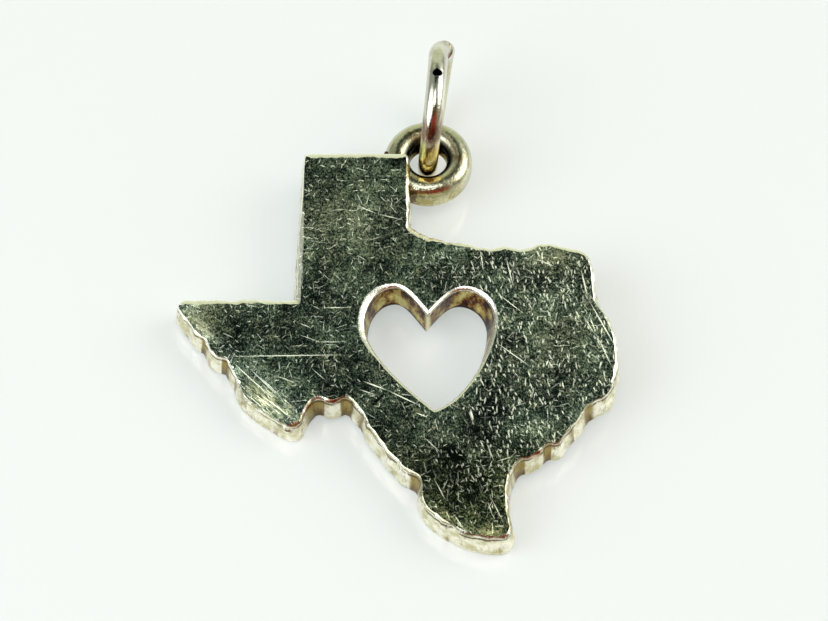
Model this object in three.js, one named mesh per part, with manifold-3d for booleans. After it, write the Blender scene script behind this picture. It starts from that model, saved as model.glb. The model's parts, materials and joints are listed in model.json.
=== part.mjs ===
// Silver charm: a state-shaped plate with a heart opening, a fixed ring and a jump ring.
// Millimetres, +Z up. The plate's back face lies on Z = 0 and its front face looks up.
// +Y runs up the panhandle and +X runs east. The origin is below the heart's tip.

import * as THREE from 'three';
import { mergeVertices } from 'three/addons/utils/BufferGeometryUtils.js';
import Module from 'manifold-3d';

// Plate sizes. The wall spreads a little from the front to the back.
const PLATE_THICKNESS = 1.5;
const FRONT_ROUND = 0.2;
const BACK_ROUND = 0.1;
const WALL_SPREAD = 0.12;
const EDGE_STEPS = 3;
const OUTLINE_STEPS = 3;

// Panhandle corners, on the outline
const PANHANDLE_NORTH_WEST = [-5.85, 14.71];
const PANHANDLE_NORTH_EAST = [-1.07, 14.71];
const PANHANDLE_SOUTH_EAST = [-1.07, 11.19];
const PANHANDLE_SOUTH_WEST = [-6.21, 7.09];
const WEST_TIP_TOP = [-11.18, 7.14];
const CORNER_RADIUS = 0.3;

// Heart opening: two unlike lobes between the cusp and the tip
const HEART_CUSP = [-0.19, 6.33];
const HEART_TIP = [0.08, 1.54];
const WEST_LOBE_TOP = [-1.73, 7.76];
const WEST_LOBE_SIDE = [-3.08, 5.92];
const WEST_LOBE_CUSP_PULL = [-0.59, 0.69];
const WEST_LOBE_TIP_PULL = [-1.41, 1.21];
const EAST_LOBE_TOP = [1.43, 7.63];
const EAST_LOBE_SIDE = [2.8, 6.16];
const EAST_LOBE_CUSP_PULL = [0.61, 0.71];
const EAST_LOBE_TIP_PULL = [1.37, 0.41];
const LOBE_SHOULDER_SHARE = 0.36;
const LOBE_ROUND_SHARE = 0.55;
const LOBE_FLANK_SHARE = 0.34;
const HEART_STEPS = 12;

// Heart opening's edge and how it draws in from the front to the back
const HEART_EASE = 0.1;
const HEART_DRAWN_TOWARD = [-1.4, 1.5];
const HEART_BACK_WIDTH_SHARE = 0.91;
const HEART_BACK_HEIGHT_SHARE = 0.97;

// Fixed ring, let into the back of the panhandle's north-east corner
const BAIL_OUTER_DIAMETER = 4;
const BAIL_BORE = 1.7;
const BAIL_HEIGHT = 1.6;
const BAIL_EAST_OF_CORNER = 0.87;
const BAIL_NORTH_OF_CORNER = 0.02;
const BAIL_SEGMENTS = 72;
const CORNER_SKIN = 0.35;

// Solder round the fixed ring
const SOLDER_LAYER = 0.08;
const SOLDER_FIT = 0.01;
const SOLDER_LEG = 0.34;
const SOLDER_BOTTOM = 0.25;
const SOLDER_TOP = 0.95;
const SOLDER_HOLLOW = 0.08;

// Jump ring, hanging round the far side of the fixed ring
const JUMP_OUTER_DIAMETER = 6.35;
const JUMP_WIRE = 0.89;
const JUMP_PLAY = 0.03;
const JUMP_TURN_DEGREES = 5.7;
const JUMP_ROLL_DEGREES = 4.1;
const JUMP_SEGMENTS = 80;
const WIRE_SEGMENTS = 20;

// Seam of the jump ring, where the ends of its wire meet out of line
const SEAM_DEGREES = 38;
const SEAM_STEP = 0.35;
const SEAM_GAP = 0.1;
const SEAM_COVER = 0.4;
const SEAM_SWELL = 0.04;
const SEAM_FIT = 0.005;

// Pit in the outside of the jump ring
const PIT_DEGREES = 88;
const PIT_RADIUS = 0.18;
const PIT_DEPTH = 0.2;

// Sizes that follow from the ones above
const RADIANS = Math.PI / 180;
const BAIL_OUTER_RADIUS = BAIL_OUTER_DIAMETER / 2;
const BAIL_WIRE = (BAIL_OUTER_DIAMETER - BAIL_BORE) / 2;
const BAIL_MEAN_RADIUS = BAIL_OUTER_RADIUS - BAIL_WIRE / 2;
const BAIL_STRAIGHT = Math.max(BAIL_HEIGHT - BAIL_WIRE, 0);
const BAIL_LEVEL = PLATE_THICKNESS - CORNER_SKIN - SOLDER_FIT - BAIL_HEIGHT / 2;
const BAIL_CENTRE = new THREE.Vector3(
  PANHANDLE_NORTH_EAST[0] + BAIL_EAST_OF_CORNER,
  PANHANDLE_NORTH_EAST[1] + BAIL_NORTH_OF_CORNER,
  BAIL_LEVEL,
);
const SEAT_RADIUS = BAIL_OUTER_RADIUS + SOLDER_LAYER + 2 * SOLDER_FIT;
const JUMP_MEAN_RADIUS = (JUMP_OUTER_DIAMETER - JUMP_WIRE) / 2;
const JUMP_INNER_RADIUS = JUMP_MEAN_RADIUS - JUMP_WIRE / 2;
const JUMP_OUTER_RADIUS = JUMP_OUTER_DIAMETER / 2;

const wasm = await Module();
wasm.setup();

// Solid tools
function toSolid(geometry) {
  const bare = geometry.clone();
  bare.deleteAttribute('normal');
  bare.deleteAttribute('uv');
  const merged = mergeVertices(bare, 1e-4);
  const position = merged.getAttribute('position');
  return new wasm.Manifold(new wasm.Mesh({
    numProp: 3,
    vertProperties: new Float32Array(position.array),
    triVerts: new Uint32Array(merged.getIndex().array),
  }));
}

function toGeometry(solid) {
  const mesh = solid.getMesh();
  const geometry = new THREE.BufferGeometry();
  const positions = new Float32Array(mesh.numVert * 3);
  for (let i = 0; i < mesh.numVert; i += 1) {
    for (let axis = 0; axis < 3; axis += 1) {
      positions[3 * i + axis] = mesh.vertProperties[mesh.numProp * i + axis];
    }
  }
  geometry.setAttribute('position', new THREE.BufferAttribute(positions, 3));
  geometry.setIndex(new THREE.BufferAttribute(new Uint32Array(mesh.triVerts), 1));
  return geometry;
}

function piece(name, solid, colour, roughness) {
  const material = new THREE.MeshStandardMaterial({ color: colour, metalness: 1, roughness });
  material.name = `${name}_metal`;
  const geometry = toGeometry(solid);
  geometry.computeVertexNormals();
  const mesh = new THREE.Mesh(geometry, material);
  mesh.name = name;
  return mesh;
}

function vectors(points) {
  return points.map(([x, y]) => new THREE.Vector2(x, y));
}

// Along a line from one corner to the next, a given distance before its end
function shortOf(from, to, distance) {
  const start = new THREE.Vector2(...from);
  const end = new THREE.Vector2(...to);
  const back = start.sub(end).setLength(distance);
  return end.add(back);
}

function roundCorner(path, from, corner, to) {
  const before = shortOf(from, corner, CORNER_RADIUS);
  const after = shortOf(to, corner, CORNER_RADIUS);
  path.lineTo(before.x, before.y);
  path.quadraticCurveTo(corner[0], corner[1], after.x, after.y);
}

// State outline in stretches, clockwise from the panhandle's south-east corner
const RED_RIVER = [
  [-1.02, 10.89], [-0.57, 10.61], [-0.11, 10.35], [0.44, 10.2], [1.42, 10.01], [2.3, 9.79],
  [2.76, 9.78], [3.2, 9.88], [3.63, 9.81], [4.08, 9.74], [4.48, 9.87], [4.87, 10.04],
  [5.34, 10.02], [6.04, 9.81], [6.68, 9.65], [7.06, 9.36], [7.25, 8.86],
];
const SABINE_RIVER = [
  [7.29, 8.19], [7.36, 7.39], [7.52, 6.91], [7.78, 6.51], [8.02, 5.95], [8.22, 5.19],
  [8.29, 4.28], [8.21, 3.38], [8.05, 2.73],
];
const GULF_COAST = [
  [7.81, 2.26], [7.38, 1.99], [6.92, 1.72], [6.67, 1.34], [6.45, 0.94], [6.15, 0.65],
  [5.83, 0.16], [5.68, -0.07], [5.44, -0.21], [5.14, -0.2], [4.88, -0.38], [4.67, -0.61],
  [4.29, -0.85], [3.96, -0.93], [3.67, -1.17], [3.43, -1.74],
];
const LAGUNA_SHORE = [
  [3.32, -2.36], [3.32, -3.04], [3.39, -3.66], [3.49, -4.21], [3.47, -4.46],
];
const SOUTH_TIP = [
  [3.35, -4.68], [3.07, -4.83], [2.61, -4.85], [2.08, -4.78], [1.61, -4.68], [1.13, -4.45],
  [0.54, -4.11], [0.12, -3.77], [-0.25, -3.44], [-0.49, -3.05],
];
const LOWER_RIO_GRANDE = [
  [-0.59, -2.59], [-0.6, -2.1], [-0.74, -1.78], [-1.01, -1.61], [-1.33, -1.44], [-1.66, -1.05],
  [-2.02, -0.62], [-2.24, -0.28], [-2.5, 0.11], [-2.76, 0.48], [-2.99, 0.86], [-3.14, 1.26],
  [-3.42, 1.65], [-3.69, 1.99],
];
const BIG_BEND = [
  [-3.91, 2.09], [-4.26, 1.98], [-4.61, 1.9], [-4.94, 2.05], [-5.24, 2.05], [-5.5, 1.81],
  [-5.68, 1.49], [-5.8, 1.17], [-5.93, 0.94], [-6.11, 0.77], [-6.4, 0.79], [-6.79, 0.96],
  [-7.19, 1.2], [-7.69, 1.59], [-8.19, 1.99], [-8.52, 2.38],
];
const UPPER_RIO_GRANDE = [
  [-8.67, 2.74], [-8.8, 3.16], [-9, 3.49], [-9.1, 3.8], [-9.25, 4.07], [-9.5, 4.17],
  [-9.75, 4.27], [-9.98, 4.52], [-10.1, 4.82], [-10.22, 5.11], [-10.5, 5.31], [-10.77, 5.58],
  [-11.04, 6.01], [-11.31, 6.37], [-11.49, 6.69], [-11.43, 6.94],
];

function stateShape() {
  const shape = new THREE.Shape();
  const start = shortOf(PANHANDLE_NORTH_EAST, PANHANDLE_NORTH_WEST, CORNER_RADIUS);
  shape.moveTo(start.x, start.y);
  roundCorner(shape, PANHANDLE_NORTH_WEST, PANHANDLE_NORTH_EAST, PANHANDLE_SOUTH_EAST);
  shape.lineTo(...PANHANDLE_SOUTH_EAST);
  shape.splineThru(vectors(RED_RIVER));
  shape.splineThru(vectors(SABINE_RIVER));
  shape.splineThru(vectors(GULF_COAST));
  shape.splineThru(vectors(LAGUNA_SHORE));
  shape.splineThru(vectors(SOUTH_TIP));
  shape.splineThru(vectors(LOWER_RIO_GRANDE));
  shape.splineThru(vectors(BIG_BEND));
  shape.splineThru(vectors([...UPPER_RIO_GRANDE, WEST_TIP_TOP]));
  shape.lineTo(...PANHANDLE_SOUTH_WEST);
  roundCorner(shape, PANHANDLE_SOUTH_WEST, PANHANDLE_NORTH_WEST, PANHANDLE_NORTH_EAST);
  return shape;
}

function stateOutline() {
  const points = stateShape().getPoints(OUTLINE_STEPS);
  if (points[0].equals(points.at(-1))) points.pop();
  return THREE.ShapeUtils.isClockWise(points) ? points.reverse() : points;
}

// Moves each point of a closed outline out along the middle of the turn there
function movedOut(points, distance) {
  return points.map((point, i) => {
    const before = point.clone().sub(points.at(i - 1)).normalize();
    const after = points[(i + 1) % points.length].clone().sub(point).normalize();
    const share = distance / (1 + before.dot(after));
    return new THREE.Vector2(
      point.x + (before.y + after.y) * share,
      point.y - (before.x + after.x) * share,
    );
  });
}

// Wall of the plate from the back face up: height, and distance out from the outline
function wallProfile() {
  const back = [];
  const front = [];
  for (let i = 0; i <= EDGE_STEPS; i += 1) {
    const angle = (i / EDGE_STEPS) * (Math.PI / 2);
    const eased = 1 - Math.sin(angle);
    const risen = 1 - Math.cos(angle);
    back.push([BACK_ROUND * risen, WALL_SPREAD - BACK_ROUND * eased]);
    front.push([PLATE_THICKNESS - FRONT_ROUND * eased, -FRONT_ROUND * risen]);
  }
  return [...back, ...front];
}

function plateBlank(grow) {
  const outline = stateOutline();
  const count = outline.length;
  const levels = wallProfile().map(([height, out]) => ({ height, points: movedOut(outline, out + grow) }));
  const positions = levels.flatMap(({ height, points }) => points.flatMap(({ x, y }) => [x, y, height]));
  const faces = [];
  for (let level = 0; level < levels.length - 1; level += 1) {
    for (let i = 0; i < count; i += 1) {
      const here = level * count + i;
      const next = level * count + ((i + 1) % count);
      faces.push(here, next, next + count, here, next + count, here + count);
    }
  }
  const top = (levels.length - 1) * count;
  for (const [a, b, c] of THREE.ShapeUtils.triangulateShape(levels[0].points, [])) {
    faces.push(a, c, b);
  }
  for (const [a, b, c] of THREE.ShapeUtils.triangulateShape(levels.at(-1).points, [])) {
    faces.push(top + a, top + b, top + c);
  }
  const geometry = new THREE.BufferGeometry();
  geometry.setAttribute('position', new THREE.Float32BufferAttribute(positions, 3));
  geometry.setIndex(faces);
  return toSolid(geometry);
}

// Heart opening: wider at the front, with its edge eased on both faces
function lobeHandles(top, side, cuspPull, tipPull) {
  const shoulder = top[0] + (HEART_CUSP[0] - top[0]) * LOBE_SHOULDER_SHARE;
  const crown = top[0] + (side[0] - top[0]) * LOBE_ROUND_SHARE;
  const cheek = side[1] + (top[1] - side[1]) * LOBE_ROUND_SHARE;
  const flank = side[1] + (HEART_TIP[1] - side[1]) * LOBE_FLANK_SHARE;
  return [
    HEART_CUSP, [HEART_CUSP[0] + cuspPull[0], HEART_CUSP[1] + cuspPull[1]], [shoulder, top[1]],
    top, [crown, top[1]], [side[0], cheek],
    side, [side[0], flank], [HEART_TIP[0] + tipPull[0], HEART_TIP[1] + tipPull[1]],
    HEART_TIP,
  ];
}

function heartShape() {
  const west = lobeHandles(WEST_LOBE_TOP, WEST_LOBE_SIDE, WEST_LOBE_CUSP_PULL, WEST_LOBE_TIP_PULL);
  const east = lobeHandles(EAST_LOBE_TOP, EAST_LOBE_SIDE, EAST_LOBE_CUSP_PULL, EAST_LOBE_TIP_PULL);
  const shape = new THREE.Shape();
  shape.moveTo(...HEART_CUSP);
  for (const handles of [west, east.reverse()]) {
    for (let i = 1; i < handles.length; i += 3) {
      shape.bezierCurveTo(...handles[i], ...handles[i + 1], ...handles[i + 2]);
    }
  }
  return shape;
}

function heartPrism(bottom, top, flare) {
  const geometry = new THREE.ExtrudeGeometry(heartShape(), {
    depth: top - bottom,
    curveSegments: HEART_STEPS,
    bevelEnabled: flare > 0,
    bevelThickness: flare,
    bevelSize: flare,
    bevelSegments: 1,
  });
  geometry.translate(0, 0, bottom);
  return geometry;
}

// Draws the heart in toward one point in step with the depth below the front face
function narrowToBack(geometry) {
  const position = geometry.getAttribute('position');
  for (let i = 0; i < position.count; i += 1) {
    const depth = (PLATE_THICKNESS - position.getZ(i)) / PLATE_THICKNESS;
    const wide = 1 - depth * (1 - HEART_BACK_WIDTH_SHARE);
    const tall = 1 - depth * (1 - HEART_BACK_HEIGHT_SHARE);
    const x = HEART_DRAWN_TOWARD[0] + (position.getX(i) - HEART_DRAWN_TOWARD[0]) * wide;
    const y = HEART_DRAWN_TOWARD[1] + (position.getY(i) - HEART_DRAWN_TOWARD[1]) * tall;
    position.setXY(i, x, y);
  }
  return toSolid(geometry);
}

function heartCutter() {
  const through = narrowToBack(heartPrism(-PLATE_THICKNESS, 2 * PLATE_THICKNESS, 0));
  const front = narrowToBack(heartPrism(PLATE_THICKNESS, 2 * PLATE_THICKNESS, HEART_EASE));
  const back = narrowToBack(heartPrism(-PLATE_THICKNESS, 0, HEART_EASE));
  return through.add(front).add(back);
}

// Fixed ring: an upright oval section turned round the ring's own axis
function bailProfile(grow) {
  const radius = BAIL_WIRE / 2 + grow;
  const steps = 10;
  const points = [];
  for (let i = 0; i <= steps; i += 1) {
    const angle = (i / steps) * Math.PI;
    points.push([radius * Math.cos(angle), radius * Math.sin(angle) + BAIL_STRAIGHT / 2]);
  }
  for (let i = 0; i <= steps; i += 1) {
    const angle = Math.PI + (i / steps) * Math.PI;
    points.push([radius * Math.cos(angle), radius * Math.sin(angle) - BAIL_STRAIGHT / 2]);
  }
  points.push(points[0]);
  return vectors(points.map(([out, up]) => [BAIL_MEAN_RADIUS + out, up]));
}

function turned(profile) {
  const geometry = new THREE.LatheGeometry(profile, BAIL_SEGMENTS);
  geometry.rotateX(Math.PI / 2);
  geometry.translate(BAIL_CENTRE.x, BAIL_CENTRE.y, BAIL_CENTRE.z);
  return toSolid(geometry);
}

function bailRing(grow) {
  return turned(bailProfile(grow));
}

// Seat for the fixed ring: bored from the back, with a round shoulder under the skin
function seatCutter(grow) {
  const radius = SEAT_RADIUS + grow;
  const shoulder = radius - BAIL_MEAN_RADIUS;
  const flat = BAIL_HEIGHT / 2 + SOLDER_FIT + grow;
  const steps = 8;
  const below = -PLATE_THICKNESS - BAIL_HEIGHT;
  const points = [[0, below], [radius, below]];
  for (let i = 0; i <= steps; i += 1) {
    const angle = (i / steps) * (Math.PI / 2);
    const out = BAIL_MEAN_RADIUS + shoulder * Math.cos(angle);
    const up = BAIL_STRAIGHT / 2 + (flat - BAIL_STRAIGHT / 2) * Math.sin(angle);
    points.push([out, up]);
  }
  points.push([0, flat], points[0]);
  return turned(vectors(points));
}

// Solder: a layer between the ring and its seat, and a hollow bead at each end of it
function bead(corner, onPlate, onRing, inward) {
  const shape = new THREE.Shape();
  const hollow = onPlate.clone().add(onRing).multiplyScalar(0.5).sub(corner);
  const control = corner.clone().add(hollow.setLength(SOLDER_HOLLOW));
  const start = corner.clone().add(inward);
  const end = onRing.clone().add(inward);
  shape.moveTo(start.x, start.y);
  shape.lineTo(onPlate.x, onPlate.y);
  shape.quadraticCurveTo(control.x, control.y, onRing.x, onRing.y);
  shape.lineTo(end.x, end.y);
  return slab(shape, SOLDER_BOTTOM, SOLDER_TOP);
}

function slab(shape, bottom, top) {
  const geometry = new THREE.ExtrudeGeometry(shape, {
    depth: top - bottom,
    curveSegments: 6,
    bevelEnabled: false,
  });
  geometry.translate(0, 0, bottom);
  return toSolid(geometry);
}

function northBead() {
  const edge = PANHANDLE_NORTH_EAST[1] + SOLDER_FIT;
  const ringX = (y) => BAIL_CENTRE.x - Math.sqrt(BAIL_OUTER_RADIUS ** 2 - (y - BAIL_CENTRE.y) ** 2);
  const corner = new THREE.Vector2(ringX(edge), edge);
  const onPlate = new THREE.Vector2(corner.x - SOLDER_LEG, edge);
  const onRing = new THREE.Vector2(ringX(edge + SOLDER_LEG), edge + SOLDER_LEG);
  return bead(corner, onPlate, onRing, new THREE.Vector2(BAIL_WIRE / 2, 0));
}

function eastBead() {
  const edge = PANHANDLE_NORTH_EAST[0] + SOLDER_FIT;
  const ringY = (x) => BAIL_CENTRE.y - Math.sqrt(BAIL_OUTER_RADIUS ** 2 - (x - BAIL_CENTRE.x) ** 2);
  const corner = new THREE.Vector2(edge, ringY(edge));
  const onPlate = new THREE.Vector2(edge, corner.y - SOLDER_LEG);
  const onRing = new THREE.Vector2(edge + SOLDER_LEG, ringY(edge + SOLDER_LEG));
  return bead(corner, onPlate, onRing, new THREE.Vector2(0, BAIL_WIRE / 2));
}

function bailSolder() {
  const inner = BAIL_MEAN_RADIUS;
  const outer = BAIL_OUTER_RADIUS + SOLDER_FIT + SOLDER_LAYER;
  const bottom = SOLDER_BOTTOM - BAIL_LEVEL;
  const top = Math.min(BAIL_STRAIGHT / 2, SOLDER_TOP - BAIL_LEVEL);
  const layer = turned(vectors([
    [inner, bottom], [outer, bottom], [outer, top], [inner, top], [inner, bottom],
  ]));
  const end = SOLDER_LEG / 2;
  const [cornerX, cornerY] = PANHANDLE_NORTH_EAST;
  const quarter = new THREE.Shape(vectors([
    [cornerX + end, cornerY - BAIL_OUTER_DIAMETER],
    [cornerX + end, cornerY + end],
    [cornerX - BAIL_OUTER_DIAMETER, cornerY + end],
    [cornerX - BAIL_OUTER_DIAMETER, cornerY - BAIL_OUTER_DIAMETER],
  ]));
  return layer
    .intersect(slab(quarter, 0, PLATE_THICKNESS))
    .add(northBead())
    .add(eastBead())
    .subtract(bailRing(SOLDER_FIT))
    .subtract(plateBlank(SOLDER_FIT).subtract(seatCutter(-SOLDER_FIT / 2)));
}

// Steepest lean of the jump ring: its inside bears on the fixed ring's far side while its
// outside bears on the near side. Both are upright ovals, met at the end of their straight part.
function steepestLean() {
  const hold = JUMP_INNER_RADIUS - BAIL_WIRE / 2 - JUMP_PLAY;
  const clear = JUMP_OUTER_RADIUS + BAIL_WIRE / 2 + JUMP_PLAY;
  const half = BAIL_STRAIGHT / 2;
  const reachAt = (lean) => {
    const up = half * Math.sin(lean);
    return Math.sqrt(up ** 2 - half ** 2 + hold ** 2) - up;
  };
  let low = 0;
  let high = Math.PI / 2;
  for (let i = 0; i < 40; i += 1) {
    const lean = (low + high) / 2;
    const across = reachAt(lean) * Math.cos(lean) + 2 * BAIL_MEAN_RADIUS;
    const over = reachAt(lean) * Math.sin(lean) - half;
    if (Math.hypot(across, over) > clear) low = lean;
    else high = lean;
  }
  return { lean: low, reach: reachAt(low) };
}

// Carries a solid drawn round the jump ring's centre to its place on the fixed ring
function hung(solid) {
  const { lean, reach } = steepestLean();
  const geometry = toGeometry(solid);
  geometry.translate(reach * Math.cos(lean), reach * Math.sin(lean), 0);
  const upright = new THREE.Matrix4().makeBasis(
    new THREE.Vector3(0, 1, 0),
    new THREE.Vector3(0, 0, 1),
    new THREE.Vector3(1, 0, 0),
  );
  geometry.applyMatrix4(upright);
  geometry.rotateY(JUMP_ROLL_DEGREES * RADIANS);
  geometry.translate(0, BAIL_MEAN_RADIUS, 0);
  geometry.rotateZ(-JUMP_TURN_DEGREES * RADIANS);
  geometry.translate(BAIL_CENTRE.x, BAIL_CENTRE.y, BAIL_CENTRE.z);
  return toSolid(geometry);
}

function wireRing(grow, aside) {
  const radius = JUMP_WIRE / 2 + grow;
  const geometry = new THREE.TorusGeometry(JUMP_MEAN_RADIUS, radius, WIRE_SEGMENTS, JUMP_SEGMENTS);
  geometry.translate(0, 0, aside);
  return toSolid(geometry);
}

function seamBlock(length) {
  const geometry = new THREE.BoxGeometry(2 * JUMP_WIRE, length, 2 * (JUMP_WIRE + SEAM_STEP));
  geometry.translate(JUMP_MEAN_RADIUS, 0, 0);
  geometry.rotateZ(SEAM_DEGREES * RADIANS);
  return toSolid(geometry);
}

function pit() {
  const geometry = new THREE.SphereGeometry(PIT_RADIUS, 16, 12);
  geometry.translate(JUMP_OUTER_RADIUS + PIT_RADIUS - PIT_DEPTH, 0, 0);
  geometry.rotateZ(PIT_DEGREES * RADIANS);
  return toSolid(geometry);
}

// The wire cut through at the seam and drawn aside round the turn, so that its ends miss
function openWire(grow, gap) {
  const geometry = toGeometry(wireRing(grow, 0).subtract(seamBlock(gap)).subtract(pit()));
  const position = geometry.getAttribute('position');
  const turn = 2 * Math.PI;
  for (let i = 0; i < position.count; i += 1) {
    const angle = Math.atan2(position.getY(i), position.getX(i)) - SEAM_DEGREES * RADIANS;
    const share = THREE.MathUtils.euclideanModulo(angle, turn) / turn - 0.5;
    position.setZ(i, position.getZ(i) + share * SEAM_STEP);
  }
  return toSolid(geometry);
}

function seamSolder() {
  return wireRing(SEAM_SWELL, -SEAM_STEP / 2)
    .add(wireRing(SEAM_SWELL, SEAM_STEP / 2))
    .intersect(seamBlock(SEAM_COVER))
    .subtract(openWire(SEAM_FIT, SEAM_GAP - 2 * SEAM_FIT));
}

const plate = plateBlank(0).subtract(heartCutter()).subtract(seatCutter(0));

const charm = new THREE.Group();
charm.name = 'heart_charm';
charm.add(piece('state_plate', plate, 0x8c938a, 0.45));
charm.add(piece('fixed_ring', bailRing(0), 0xb9b8a8, 0.22));
charm.add(piece('fixed_ring_solder', bailSolder(), 0xa89f80, 0.4));
charm.add(piece('jump_ring', hung(openWire(0, SEAM_GAP)), 0xc4c2b6, 0.15));
charm.add(piece('jump_ring_solder', hung(seamSolder()), 0xa9a48f, 0.35));

export default charm;
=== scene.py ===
"""Worn silver state charm with a heart opening, a fixed ring and a jump ring.

Sizes are in millimetres until a mesh is made, and Blender's units are metres.
"""

import json
import math

import bmesh
import bpy
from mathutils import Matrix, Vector, noise
from mathutils.geometry import delaunay_2d_cdt


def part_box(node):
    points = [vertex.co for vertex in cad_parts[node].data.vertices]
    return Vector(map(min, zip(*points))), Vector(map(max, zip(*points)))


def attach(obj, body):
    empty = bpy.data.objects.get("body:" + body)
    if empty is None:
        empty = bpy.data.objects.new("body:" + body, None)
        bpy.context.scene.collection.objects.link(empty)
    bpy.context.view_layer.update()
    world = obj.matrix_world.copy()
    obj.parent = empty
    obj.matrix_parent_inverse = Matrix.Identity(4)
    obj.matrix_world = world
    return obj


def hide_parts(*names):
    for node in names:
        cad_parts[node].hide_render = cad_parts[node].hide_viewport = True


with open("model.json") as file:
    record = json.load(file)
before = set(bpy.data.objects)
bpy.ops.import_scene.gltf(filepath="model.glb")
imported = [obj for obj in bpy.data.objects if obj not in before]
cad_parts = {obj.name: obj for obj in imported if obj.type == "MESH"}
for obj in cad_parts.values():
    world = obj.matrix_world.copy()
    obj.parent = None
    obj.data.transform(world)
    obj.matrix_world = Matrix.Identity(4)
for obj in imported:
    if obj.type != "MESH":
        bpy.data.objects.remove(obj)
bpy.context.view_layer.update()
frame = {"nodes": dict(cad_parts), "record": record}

bl_info = {
    "name": "Heart Charm",
    "version": (1, 0, 0),
    "blender": (4, 5, 0),
    "location": "View3D > Sidebar > Heart Charm",
    "description": "Worn silver charm: a state plate with a heart opening, a fixed ring and a jump ring",
    "category": "Add Mesh",
}

MM = 0.001
TURN = 2 * math.pi
QUARTER = math.pi / 2

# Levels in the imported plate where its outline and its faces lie, and the distance that counts as none
PLATE_BACK = 0.0
PLATE_FACE = 1.5
SHOULDER_FOOT = 1.3
SAME_PLACE = 0.002

# Part of a quarter turn that the rounded edge goes through, which leaves a slight crease at the face
CREASE = math.radians(60)

# Radii of the edges at the back and round the heart, and the outer wall's rise between its edges
BACK_ROUND = 0.1
HEART_ROUND = 0.1
WALL_RISE = 1.15

# How finely the plate's curves and faces are divided
LONGEST = 0.3
COAST_STEP = 0.075
HEART_STEP = 0.06
FACE_SPACING = 0.3
BACK_SPACING = 0.6
ROW_HEIGHT = math.sqrt(0.75)

# Turn from which a corner stays sharp, and the points to each side over which a notch is measured
CORNER = math.radians(34)
NOTCH_REACH = 4

# Worn slopes: their foot on the wall, how far past their ends they fade, and their fall's limit and power
WEAR_FOOT = 0.9
SLOPE_END = 0.4
SLOPE_PAST = 1.2
SLOPE_CURVE = 1.3

# How wavy both faces are, and the distance in metres under which a cut's points are joined
FACE_WAVE = 0.012
SLIVER = 0.001 * MM

# Seat for the fixed ring: room round the ring and over it, and its cutter's foot from the ring's middle
SEAT_ROOM = 0.1
SEAT_HEADROOM = 0.01
CUTTER_FOOT = -3

# Faces round the seat and round the fixed ring
SEAT_TURNS = 120
RING_TURNS = 200

# Seam and pit of the jump ring, as angles up from the level, and the seam's gap
SEAM_ANGLE = math.radians(38)
PIT_ANGLE = math.radians(88)
SEAM_GAP = 0.1

# Solder in the seam: half its length beside the gap, its size beside the wire's, and its waist
SOLDER_HALF = 0.42
SOLDER_SIZE = 0.98
SOLDER_WAIST = 0.12

# Share of the wire over which each end bends back, and how much of the seam's step that takes away
BEND_LENGTH = 0.06
BEND_BACK = 0.8

# How finely the wire is divided: round it, along it, along the seam and round the pit
WIRE_SIDES = 48
WIRE_STEPS = 420
SEAM_STEPS = 16
PIT_SIDES = 36

# Pit: its radius and how deep the middle of its painted shade lies
PIT_RADIUS = 0.2
PIT_SHADE_DEPTH = 0.19

# Rims of the pit: height over the wire's top and share of the pit's radius
PIT_RIMS = ((0.1, 1.25), (0.0, 1.0), (-0.1, 0.86), (-0.22, 0.66), (-0.34, 0.3))

# Two points of the plate's back that rest on the table, as the jump ring does
WEST_FOOT = Vector((-7.14, 1.14, 0))
SOUTH_FOOT = Vector((0.54, -4.14, 0))

# Table: the place under its middle, its gap below the charm, and half its width in metres
TABLE_MIDDLE = Vector((0, 5, 0))
TABLE_GAP = 0.02
TABLE_HALF_METRES = 3

# Pale table that glows a little, as one under soft light from all sides does
TABLE_SHEEN = {
    "Base Color": (0.42, 0.42, 0.415, 1),
    "Roughness": 0.1,
    "Specular IOR Level": 0.6,
    "Emission Color": (0.94, 1.0, 0.975, 1),
    "Emission Strength": 0.45,
}

# Bends that are shaded smooth, and bends that count as the face's rim
SMOOTH_ANGLE = math.radians(35)
RIM_ANGLE = math.radians(10)

# Photograph's camera
VIEW_ELEVATION = math.radians(62)
VIEW_TARGET = Vector((-0.8453, 6.5252, 1.5))
VIEW_DISTANCE = 270
SENSOR_WIDTH = 36
LENS_LENGTH = 260.87
CLIP_METRES = (0.005, 20)

# Room round the charm: azimuth from north through east, elevation, full and outer radius, colour
ROOM = [
    (0, 12, 24, 46, (0.76, 0.82, 0.6, 1)),
    (176, 28, 30, 50, (0.12, 0.07, 0.04, 1)),
    (146, 28, 8, 20, (0.6, 0.18, 0.05, 1)),
    (160, 33, 10, 21, (0.38, 0.055, 0.05, 1)),
    (202, 28, 8, 20, (0.55, 0.17, 0.05, 1)),
    (180, 77, 7, 14, (4.8, 5.0, 5.0, 1)),
    (75, 32, 14, 34, (2.8, 2.8, 2.6, 1)),
    (-110, 40, 15, 36, (2.5, 2.65, 2.75, 1)),
    (-152, 30, 7, 15, (0.03, 0.03, 0.03, 1)),
    (0, 60, 12, 26, (0.045, 0.06, 0.042, 1)),
]
ROOM_GREY = (0.38, 0.41, 0.36, 1)

# Softboxes near the charm: name, place, size in millimetres, watts, colour
SOFTBOXES = [
    ("west_softbox", (-85, -30, 80), 90, 0.04, (0.88, 0.95, 1.0)),
    ("east_softbox", (90, 25, 60), 80, 0.02, (1.0, 0.95, 0.86)),
]

# Polished slopes along the coast: ends, width and how far each end falls, in millimetres
WORN_SLOPES = [
    ((-11.7, 7.0), (-9.0, 4.0), 0.45, 0.07, 0.09),
    ((-9.05, 3.2), (-6.25, 0.5), 1.4, 0.17, 0.3),
    ((-0.6, -3.1), (0.6, -4.45), 0.45, 0.06, 0.1),
    ((0.6, -4.45), (3.3, -5.1), 0.45, 0.1, 0.08),
]

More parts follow.
